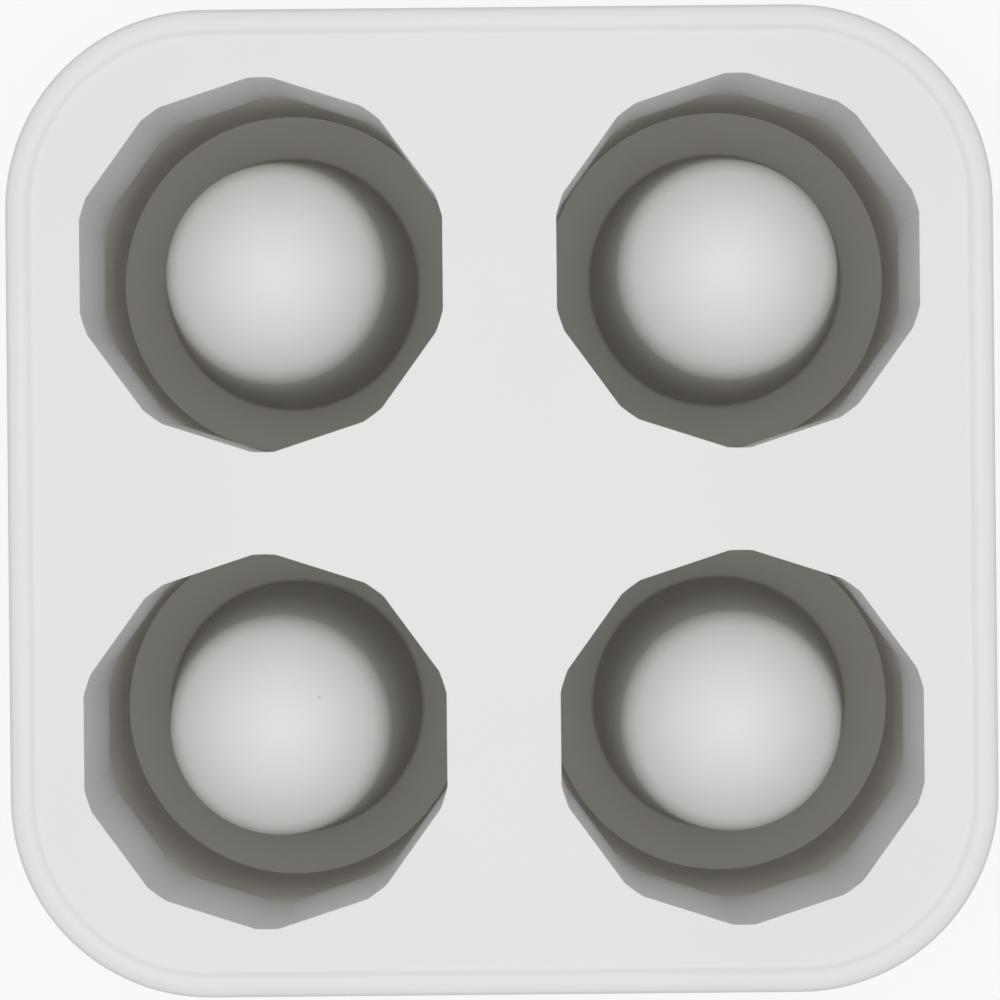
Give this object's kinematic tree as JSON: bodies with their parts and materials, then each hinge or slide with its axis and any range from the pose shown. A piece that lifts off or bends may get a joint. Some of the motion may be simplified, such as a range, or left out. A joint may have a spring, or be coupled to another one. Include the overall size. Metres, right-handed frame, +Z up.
{
  "type": "shot glass ice mould",
  "caption": "Rounded square silicone mould that freezes shot glasses out of ice: faceted cavities in a block that lifts off its domed core plugs.",
  "frame": {"origin": "middle of the underside, on the surface that the mould stands on", "axes": "+Z up through the mouths of the cavities, +X to the right and +Y to the rear, which is the top of the reference view"},
  "size_m": [0.134, 0.134, 0.062],
  "materials": {
    "block_silicone": "soft matt silicone, near white",
    "core_silicone": "soft matt silicone, near white"
  },
  "bodies": {
    "cores": {"core_front_left": "core_silicone", "core_front_right": "core_silicone", "core_rear_left": "core_silicone", "core_rear_right": "core_silicone"},
    "block": {"mould_block": "block_silicone"}
  },
  "joints": [
    {"name": "block_lift", "type": "slide", "parent": "cores", "child": "block", "axis": [0, 0, 1], "range_m": [0, 0.06]}
  ]
}
